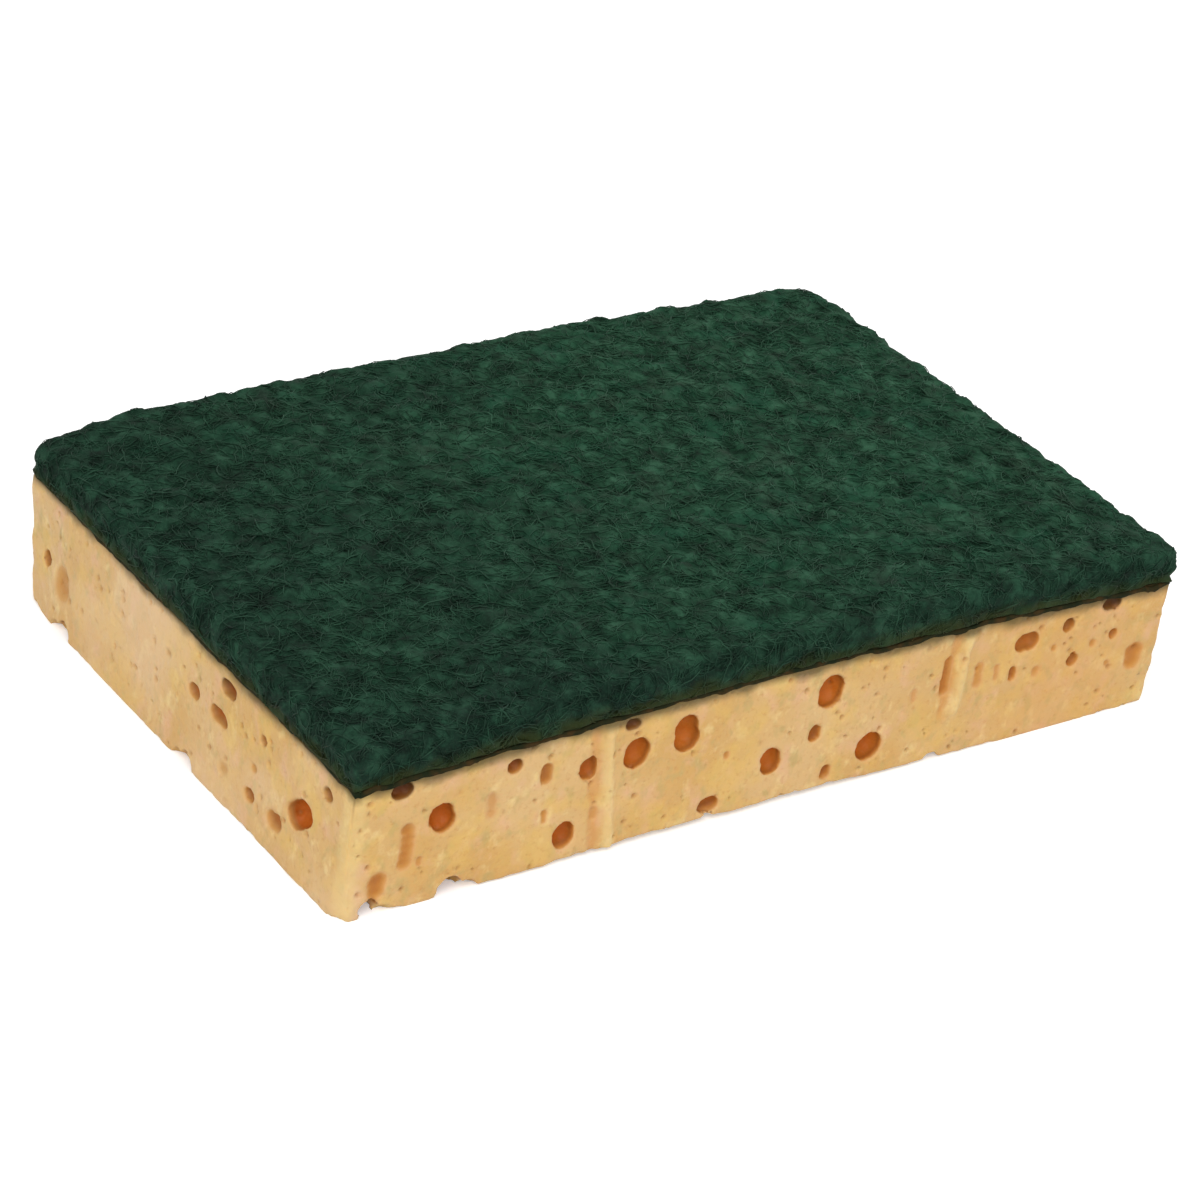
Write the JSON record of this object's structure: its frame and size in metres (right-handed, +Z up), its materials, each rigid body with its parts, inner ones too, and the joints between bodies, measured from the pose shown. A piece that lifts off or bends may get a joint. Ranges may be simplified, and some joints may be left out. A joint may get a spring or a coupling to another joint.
{
  "type": "cleaning sponge",
  "caption": "Rectangular cleaning sponge: a pale open-pored foam block with a dark green scouring pad bonded over its upper side, for washing and scrubbing by hand.",
  "frame": {"origin": "middle of the base, on the surface that the sponge lies on", "axes": "+X along the long front edge to the right, +Y from the front to the back, +Z up through the scouring pad"},
  "size_m": [0.1521, 0.1018, 0.0306],
  "materials": {
    "foam": "matt open-pored foam, orange-brown inside the pores",
    "adhesive": "dried brown adhesive, dull",
    "scouring_web": "matt, coarse bonded fibre web"
  },
  "bodies": {
    "root": {"sponge": "foam", "bond_layer": "adhesive", "scour_pad": "scouring_web"}
  },
  "joints": []
}
